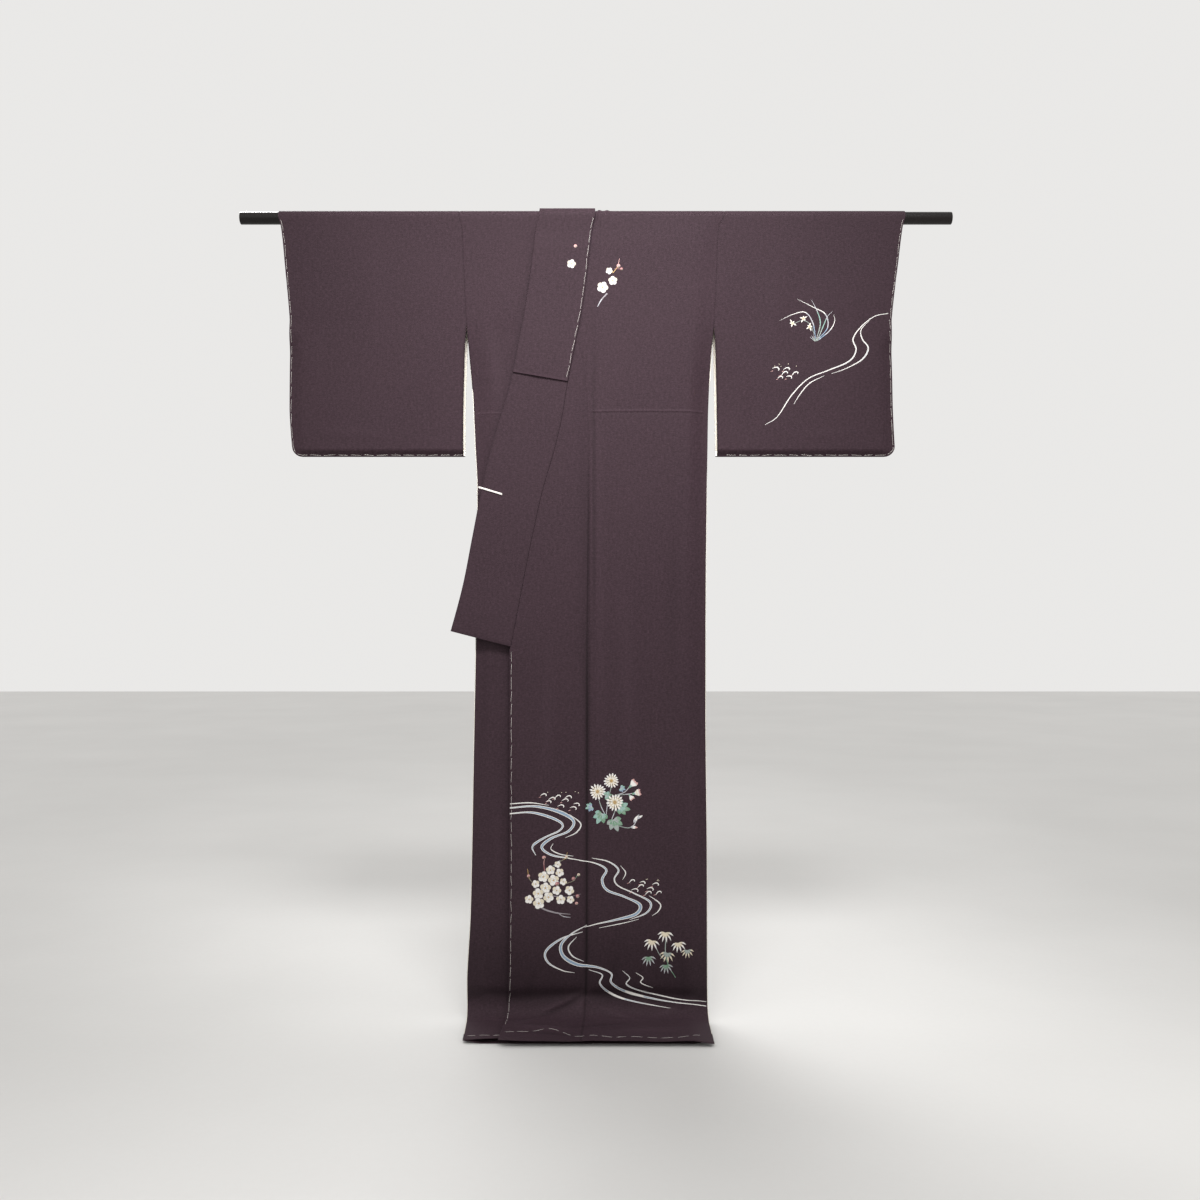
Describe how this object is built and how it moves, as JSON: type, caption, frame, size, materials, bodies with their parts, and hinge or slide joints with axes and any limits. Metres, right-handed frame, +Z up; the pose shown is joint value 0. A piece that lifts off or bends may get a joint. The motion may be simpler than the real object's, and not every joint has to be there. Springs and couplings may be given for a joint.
{
  "type": "silk kimono on a rod",
  "caption": "Lined silk kimono hung flat by its sleeves on a thin lacquered rod, left front lapped over right, hem resting forward on the floor.",
  "frame": {"origin": "on the rod's axis at mid-length, where the rod that carries the kimono is held", "axes": "+Z up, -Y the front of the garment, +X the wearer's left"},
  "size_m": [1.4, 0.1633, 1.6004],
  "materials": {
    "crepe": "matt aubergine silk crepe",
    "lining": "off-white plain silk",
    "thread": "off-white silk thread",
    "lacquer": "gloss black lacquer"
  },
  "bodies": {
    "root": {"rod": "lacquer", "left_front": "crepe", "left_back": "crepe", "right_front": "crepe", "right_back": "crepe", "left_okumi": "crepe", "right_okumi": "crepe", "left_sleeve_front": "crepe", "left_sleeve_back": "crepe", "right_sleeve_front": "crepe", "right_sleeve_back": "crepe", "left_collar": "crepe", "right_collar": "crepe", "over_collar": "crepe", "left_sleeve_lining_front": "lining", "left_sleeve_lining_back": "lining", "right_sleeve_lining_front": "lining", "right_sleeve_lining_back": "lining", "collar_tie": "thread"}
  },
  "joints": []
}
